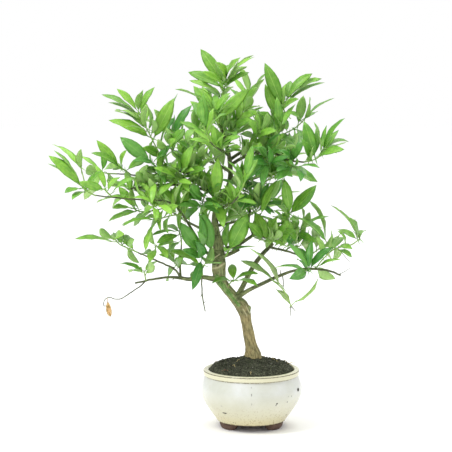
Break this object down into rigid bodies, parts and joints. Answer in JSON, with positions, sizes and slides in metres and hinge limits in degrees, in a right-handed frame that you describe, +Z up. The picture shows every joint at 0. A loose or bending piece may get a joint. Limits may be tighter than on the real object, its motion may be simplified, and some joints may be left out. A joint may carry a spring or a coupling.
{
  "type": "bonsai tree in a pot",
  "caption": "Limequat bonsai: a leaning citrus trunk with open boughs and pointed glossy leaves, in soil in a round glazed pot on feet.",
  "frame": {"origin": "on the table, under the middle of the whole plant's bounding box", "axes": "+Z up from the table, +X to the right as the front is seen, +Y away from the viewer"},
  "size_m": [0.545, 0.3602, 0.6642],
  "materials": {
    "glaze": "glossy cream glaze with small chips, bare brown clay on the feet",
    "soil": "dark crumbly potting soil, matt",
    "screen": "black plastic net",
    "bark": "rough beige-brown bark, darker and greener on the boughs",
    "young_leaf": "fresh light green leaf, soft gloss",
    "grown_leaf": "green leaf, waxy gloss",
    "old_leaf": "dark green leaf, waxy gloss",
    "dried_leaf": "dried orange-brown leaf, matt"
  },
  "bodies": {
    "root": {"pot": "glaze", "drain_screen": "screen", "soil": "soil", "trunk_and_boughs": "bark", "apex": "young_leaf", "apexFront": "grown_leaf", "apexRight": "grown_leaf", "topRight": "young_leaf", "topRightOut": "grown_leaf", "rightEnd": "grown_leaf", "rightUnder": "old_leaf", "rightInner": "old_leaf", "rightCrown": "grown_leaf", "rightFront": "grown_leaf", "archRight": "young_leaf", "rightMiddle": "grown_leaf", "rightFan": "grown_leaf", "rightStem": "young_leaf", "rightRise": "old_leaf", "upperRight": "old_leaf", "lowCluster": "old_leaf", "lowTip": "young_leaf", "greyLeaf": "old_leaf", "spurStem": "old_leaf", "droopingStem": "grown_leaf", "trunkSprig": "young_leaf", "bigLeafStem": "grown_leaf", "darkPair": "old_leaf", "trunkLeft": "old_leaf", "trunkFront": "grown_leaf", "leftCentre": "grown_leaf", "leftRise": "grown_leaf", "leftRiseTop": "grown_leaf", "leftCrown": "young_leaf", "leftDark": "old_leaf", "leftBright": "young_leaf", "leftTipEnd": "grown_leaf", "farEnd": "grown_leaf", "farMid": "grown_leaf", "farBack": "grown_leaf", "leftNear": "grown_leaf", "leftWing": "grown_leaf", "leftPale": "young_leaf", "leftDroop": "young_leaf", "leftRiserStem": "young_leaf", "reachEnd": "young_leaf", "reachMid": "young_leaf", "lowLeft": "grown_leaf", "lowInner": "grown_leaf", "backCrown": "grown_leaf", "backCrownLeft": "grown_leaf", "backShoulder": "old_leaf", "backShoulderUp": "grown_leaf", "backWing": "old_leaf", "backWingUp": "grown_leaf", "backSkirt": "old_leaf", "backSkirtLeft": "old_leaf", "frontCrown": "grown_leaf", "frontHeart": "grown_leaf", "dried_leaf": "dried_leaf"}
  },
  "joints": []
}
